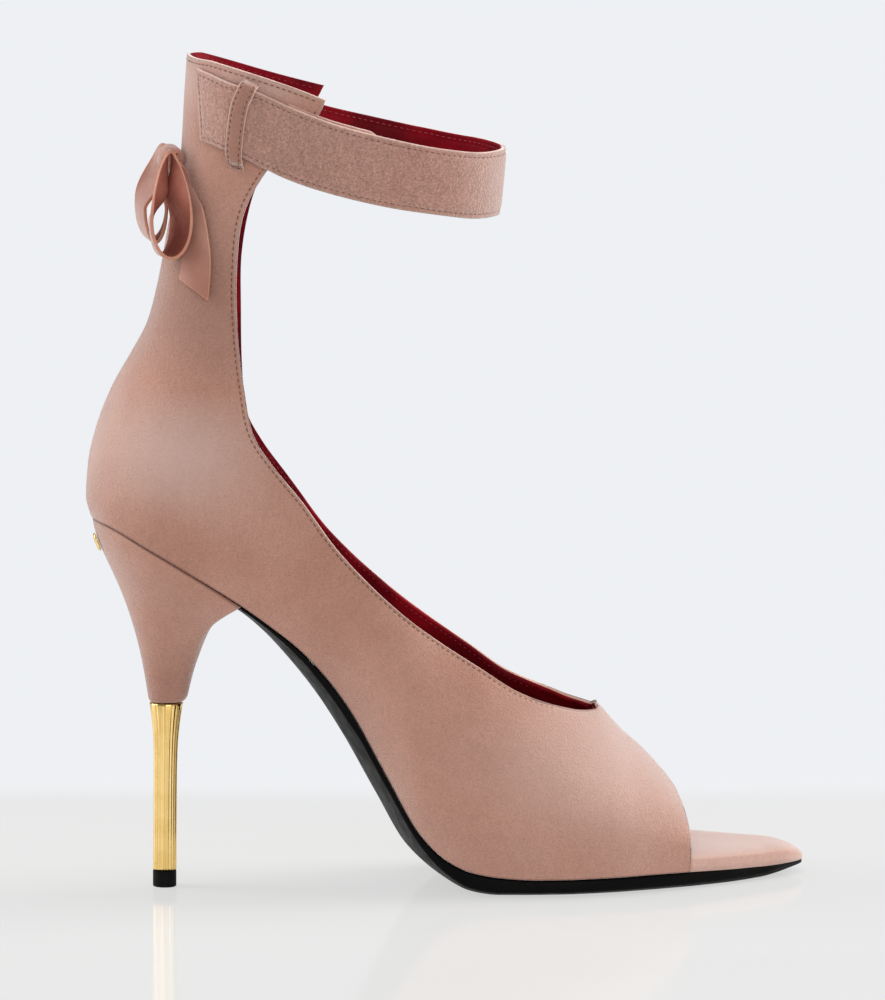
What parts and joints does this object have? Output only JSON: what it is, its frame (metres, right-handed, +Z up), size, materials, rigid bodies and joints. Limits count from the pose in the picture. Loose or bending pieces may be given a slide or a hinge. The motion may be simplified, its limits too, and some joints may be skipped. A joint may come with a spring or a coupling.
{
  "type": "high-heeled sandal",
  "caption": "Open-toed suede sandal for a right foot, with a tall back shaft, an ankle strap held by a keeper, a ribbon bow at the back and a slim metal-tipped heel.",
  "frame": {"origin": "middle of the top piece's foot, on the floor under the heel", "axes": "+X towards the toe, +Z up, +Y to the inner side of the right foot"},
  "size_m": [0.21, 0.0778, 0.2433],
  "materials": {
    "upper_suede": "suede",
    "sole_leather": "gloss",
    "insole_suede": "suede",
    "heel_suede": "suede",
    "gold": "polished",
    "top_rubber": "matte",
    "strap_suede": "suede",
    "bow_ribbon": "smooth"
  },
  "bodies": {
    "root": {"upper": "upper_suede", "outsole": "sole_leather", "insole": "insole_suede", "heel_block": "heel_suede", "heel_stem": "gold", "top_piece": "top_rubber", "heel_stud": "gold", "ankle_strap": "strap_suede", "strap_keeper": "strap_suede", "bow_knot": "bow_ribbon", "bow_loop_outer": "bow_ribbon", "bow_loop_inner": "bow_ribbon", "bow_tail_outer": "bow_ribbon", "bow_tail_inner": "bow_ribbon"}
  },
  "joints": []
}
